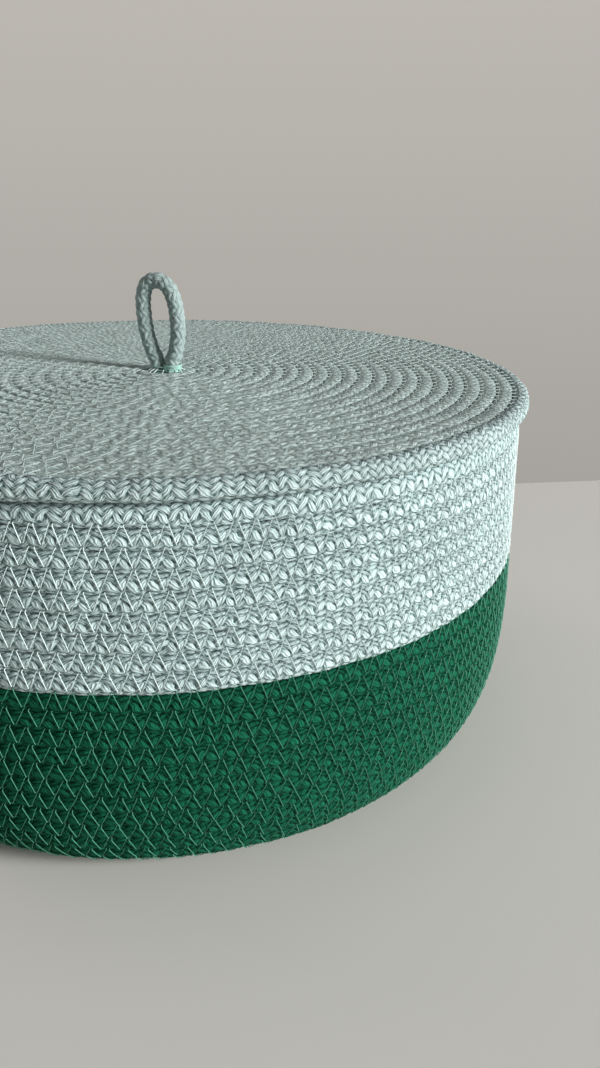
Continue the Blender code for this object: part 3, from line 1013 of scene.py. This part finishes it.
@dataclass
class Loop:
    """The upright loop of cord in the middle of the lid."""

    height: float = 30.5 * MM  # over the hinge
    width: float = 13.6 * MM
    lean: float = 2.1 * MM
    spacing: float = 6.3 * MM  # from leg to leg
    cord_radius: float = 3.0 * MM
    bend: float = 6.0 * MM  # how far over the hinge the real loop bends when tilted
    eye_middle: float = 4.9 * MM
    wraps: int = 9
    wrap_radius: float = 0.24 * MM
    wrap_pitch: float = 0.36 * MM
    stitches: int = 18
    stitch_radius: float = 0.17 * MM
    half_shares: tuple[Pair, ...] = (  # of half the width and of the height, up one side
        (0.66, 0.105), (0.82, 0.22), (0.96, 0.38), (1.0, 0.56), (0.95, 0.75), (0.74, 0.9), (0.43, 0.973),
    )

    def __post_init__(self) -> None:
        """Find the hinge and the lid's faces."""
        self.low, self.high = (corner[2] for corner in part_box("loop_root"))
        self.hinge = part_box("loop_handle")[0][2] + self.cord_radius

    def route(self) -> Array:
        """The cord's middle: straight up through the eye, round the bow and down again.

        Formula: a Catmull-Rom curve through the points, moved sideways by lean (z / height)^1.5.

        Returns:
            Its points.
        """
        leg = self.spacing / 2
        half = [(-leg, self.low - self.hinge), (-leg, 0.0)]
        half += [(-self.width / 2 * x, self.height * z) for x, z in self.half_shares]
        points = np.array([*half, (0.0, self.height), *((-x, z) for x, z in reversed(half))])
        points = np.insert(points, 1, 0.0, axis=1)
        padded = np.concatenate([[points[0] * 2 - points[1]], points, [points[-1] * 2 - points[-2]]])
        t = np.linspace(0.0, 1.0, 24, endpoint=False)[:, None]
        spans = zip(padded, padded[1:], padded[2:], padded[3:])
        curve = [2 * b + (c - a) * t + (2 * a - 5 * b + 4 * c - d) * t**2 + (3 * b - a - 3 * c + d) * t**3
                 for a, b, c, d in spans]
        line = np.concatenate([*curve, [2 * points[-1]]]) / 2
        line[:, 0] -= self.lean * np.clip(line[:, 2] / self.height, 0.0, None) ** 1.5
        return line + np.array([0.0, 0.0, self.hinge])

    def build(self) -> None:
        """Draw the cord, fill the eye beside it and lash its root."""
        material = LOOP_MINT_SHADED.make(BRAID)
        piece = add_piece("loop_cord", self.cord(), material, None, "mint_cotton", "loop_handle", "loop_root")
        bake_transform(piece)
        for name, way in (("eye_cord_front", -1.0), ("eye_cord_back", 1.0)):
            add_piece(name, self.eye_fill(name, way), material, "lid", "mint_cotton")
        add_piece("loop_lashing", self.lashing(), LASHING.make(), "lid", "mint_cotton")
        add_piece("loop_stitches", self.fan(), PALE_THREAD.make(), "lid", "mint_cotton")

    def cord(self) -> Mesh:
        """The cord as a braided tube.

        Formula: rings of corners round the route, each moved out by the radius and the braid's height.

        Returns:
            Its mesh.
        """
        line = self.route()
        arc = run_length(line)
        along = np.linspace(0.0, arc[-1], int(arc[-1] / (0.4 * MM)))
        path = np.stack([np.interp(along, arc, values) for values in line.T], axis=-1)[:, None, :]
        side = np.array([0.0, 1.0, 0.0])
        out = np.cross(side, unit(np.gradient(path, axis=0)))
        angle = np.linspace(-np.pi, np.pi, 29)[None, :]
        phases = along[:, None] / BRAID.half_wave, BRAID.round_phase(angle)
        radius = self.cord_radius + BRAID.relief * BRAID.height(*phases)
        rings = path + radius[..., None] * (np.cos(angle)[..., None] * out + np.sin(angle)[..., None] * side)
        return MeshMaker.tube("loop_cord", rings, {"cord": xyz(*phases, 0.0)})

    def eye_fill(self, name: str, way: float) -> Mesh:
        """The cord's start beside the legs, which closes the eye on one side.

        Formula: rings of corners round an arc about the eye's middle, half as wide as a cord and as
        high, and both shrink by sin(q)^0.5 towards the ends.

        Args:
            name: The piece's name.
            way: -1 in front, 1 behind.

        Returns:
            Its mesh.
        """
        share = np.linspace(0.0, np.pi, 33)[:, None]
        bend = way * np.pi / 2 - way * (share - np.pi / 2) * 0.62
        angle = np.linspace(-np.pi, np.pi, 17)[None, :]
        size = np.clip(np.sin(share), 0.03, 1.0) ** 0.5
        along, around = share * 3.2, BRAID.round_phase(angle)
        lift = BRAID.relief * BRAID.height(along, around) * size
        reach = self.eye_middle + (1.75 * MM * size + lift) * np.sin(angle)
        rings = polar(reach, bend, (self.low + self.high) / 2 + (2.9 * MM * size + lift) * np.cos(angle))
        return MeshMaker.tube(name, rings[::-1] if way < 0 else rings, {"cord": xyz(along, around, 0.0)})

    def lashing(self) -> Mesh:
        """The thread wound round the legs just above the lid: every third turn round both, the rest
        round the one leg.

        Formula: ellipses round the legs that tilt and shift a little from turn to turn.

        Returns:
            Its mesh.
        """
        share = np.linspace(0.0, 1.0, 45)[None, :]
        number = np.arange(self.wraps)[:, None]
        angle = 2 * np.pi * share + 0.4 * number
        tilt = 0.6 * MM * drift(number / 3.7, 41, (1.0, 2.3))
        spread = 0.25 * MM * drift(number / 2.9, 43, (1.0, 1.9))
        both = number % 3 == 0
        leg = self.spacing / 2
        reach = np.where(both, leg, 0.0) + self.cord_radius + 0.25 * MM + spread
        x = np.where(both, 0.0, leg) + reach * np.cos(angle)
        y = (self.cord_radius + 0.3 * MM + spread) * np.sin(angle)
        z = self.high - 0.3 * MM + self.wrap_pitch * number + tilt * np.cos(angle + number)
        radius, up = np.array([[self.wrap_radius]]), polar(1.0, angle, 0.0)
        return MeshMaker.threads("loop_lashing", xyz(x, y, z), radius, up, sides=5)

    def fan(self) -> Mesh:
        """The stitches that fan out from the legs over the first rows of the lid.

        Formula: each runs out along a radius from the legs, bows over the cord by 1 - |2t-1|^4 and
        starts higher by (1-t)^2.

        Returns:
            Their mesh.
        """
        share = np.linspace(0.0, 1.0, 8)[None, :]
        number = np.arange(self.stitches)[:, None]
        angle = number / self.stitches * 2 * np.pi + 0.25 * drift(number / 3.1, 47, (1.0, 2.2))
        far = 0.9 * MM * drift(number / 2.3, 53, (1.0, 2.9))
        x = (self.spacing / 2 + self.cord_radius + (3.4 * MM + far) * share) * np.cos(angle)
        y = (self.cord_radius + (4.6 * MM + far) * share) * np.sin(angle)
        bow = 0.85 * MM * (1 - np.abs(2 * share - 1) ** 4) + 1.3 * MM * (1 - share) ** 2
        z = self.high - 0.4 * MM - 0.5 * MM * share + bow
        radius, up = np.array([[self.stitch_radius]]), np.array([0.0, 0.0, 1.0])
        return MeshMaker.threads("loop_stitches", xyz(x, y, z), radius, up)


class Lamp(NamedTuple):
    """A rectangular soft lamp: its place before the studio is turned, its size and its power."""

    name: str
    place: tuple[float, float, float]
    size: Pair
    power: float


@dataclass
class Studio:
    """The pale floor, the soft light and the camera at the photograph's viewing angle."""

    lid_radius: float
    lid_height: float
    focal_pixels: float = 839.5
    picture_width: int = 600
    distance: float = 2.3966  # from the axis to the camera, in lid radii
    rise: float = 0.4937  # from the lid's middle up to it, in lid radii
    yaw: float = math.radians(9.32)
    tilt: float = math.radians(22.14)
    roll: float = math.radians(0.969)
    turned: float = math.radians(25.0)  # the whole studio round the basket
    table_end: float = 223.0 * MM
    table_reach: float = 1.2
    table: Colour = (0.83, 0.805, 0.755, 1.0)
    surround: Colour = (1.0, 0.985, 0.97, 1.0)
    surround_strength: float = 0.168
    # The backdrop's darkening towards the bottom is painted shade.
    wall_low_painted_shade: Colour = (0.375, 0.355, 0.33, 1.0)
    wall_high: Colour = (0.51, 0.485, 0.45, 1.0)
    lamps: tuple[Lamp, ...] = (
        Lamp("window", (5.28, -3.16, 1.80), (1.28, 2.4), 570.0),
        Lamp("fill", (-7.2, 5.7, 1.35), (4.8, 2.1), 205.0),
    )
    lamps_aim: float = 0.08  # the height that they face

    def __post_init__(self) -> None:
        """Turn the studio."""
        self.turn = Matrix.Rotation(self.turned, 3, "Z")

    def camera(self) -> None:
        """Stand the camera by the lid."""
        spot = self.turn @ Vector((0.0, -self.distance, self.rise)) * self.lid_radius
        spot.z += self.lid_height
        level = math.cos(self.tilt)
        ahead = Vector((math.sin(self.yaw) * level, math.cos(self.yaw) * level, -math.sin(self.tilt)))
        right = Vector((math.cos(self.yaw), -math.sin(self.yaw), 0.0))
        up = right.cross(ahead)
        across = right * math.cos(self.roll) + up * math.sin(self.roll)
        upright = up * math.cos(self.roll) - right * math.sin(self.roll)
        data = bpy.data.cameras.new("camera")
        data.sensor_fit = "HORIZONTAL"
        data.sensor_width = 36.0
        data.lens = self.focal_pixels / self.picture_width * data.sensor_width
        data.clip_start = 0.01
        stand = Matrix([self.turn @ axis for axis in (across, upright, -ahead)]).transposed().to_4x4()
        stand.translation = spot
        camera = bpy.context.scene.camera = put("camera", data)
        camera.matrix_world = stand

    def floor(self) -> None:
        """A wide pale table top that ends behind the basket."""
        near, end = -self.table_reach, self.table_end
        corners = [(near, near, 0), (-near, near, 0), (-near, end, 0), (near, end, 0)]
        mesh = bpy.data.meshes.new("floor")
        mesh.from_pydata([self.turn @ Vector(corner) for corner in corners], [], [(0, 1, 2, 3)])
        sheet = Shading(bpy.data.materials.new("pale_floor"))
        sheet.give({"Base Color": self.table, "Roughness": 0.75, "Specular IOR Level": 0.2})
        mesh.materials.append(sheet.owner)
        put("floor", mesh)

    def light(self) -> None:
        """A wide soft window on the right, a weak lamp behind on the left, and an even surround.

        In the surround's place the camera sees a pale wall, with painted shade that darkens it downwards.
        """
        scene = bpy.context.scene
        scene.view_settings.view_transform = "Standard"
        scene.world = bpy.data.worlds.new("surround")
        sheet = Shading(scene.world)
        sheet.give({"Color": self.surround, "Strength": self.surround_strength})
        height = sheet.parts(sheet.step("ShaderNodeTexCoord", {}, "Generated"))[2]
        rise = sheet.span(height, (-0.34, 0.2), (0.0, 1.0), kind="LINEAR")
        wall = sheet.step("ShaderNodeBackground", {"Color": sheet.blend(rise, self.wall_low_painted_shade, self.wall_high)})
        rays = sheet.step("ShaderNodeLightPath", {}).node.outputs
        seen = sheet.maths("MAXIMUM", rays["Is Camera Ray"], rays["Is Glossy Ray"])
        seen = sheet.maths("MAXIMUM", seen, rays["Is Transmission Ray"])
        mix = sheet.step("ShaderNodeMixShader", {0: seen, 1: sheet.shader.outputs[0], 2: wall})
        sheet.wire(mix, sheet.tree.nodes["World Output"].inputs["Surface"])
        for lamp in self.lamps:
            data = bpy.data.lights.new(lamp.name, "AREA")
            data.shape = "RECTANGLE"
            data.size, data.size_y = lamp.size
            data.energy = lamp.power
            light = put(lamp.name, data)
            light.location = self.turn @ Vector(lamp.place)
            aim = Vector((0.0, 0.0, self.lamps_aim)) - light.location
            light.rotation_euler = aim.to_track_quat("-Z", "Y").to_euler()


def main() -> None:
    """Build the pieces in order and note the sizes."""
    logging.basicConfig(level=logging.INFO, format="%(message)s")
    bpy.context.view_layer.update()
    Basket().build()
    lid = Lid()
    lid.build()
    Loop().build()
    studio = Studio(lid_radius=lid.radius, lid_height=lid.height - lid.rests_higher)
    studio.camera()
    studio.floor()
    studio.light()


if __name__ == "__main__":
    main()
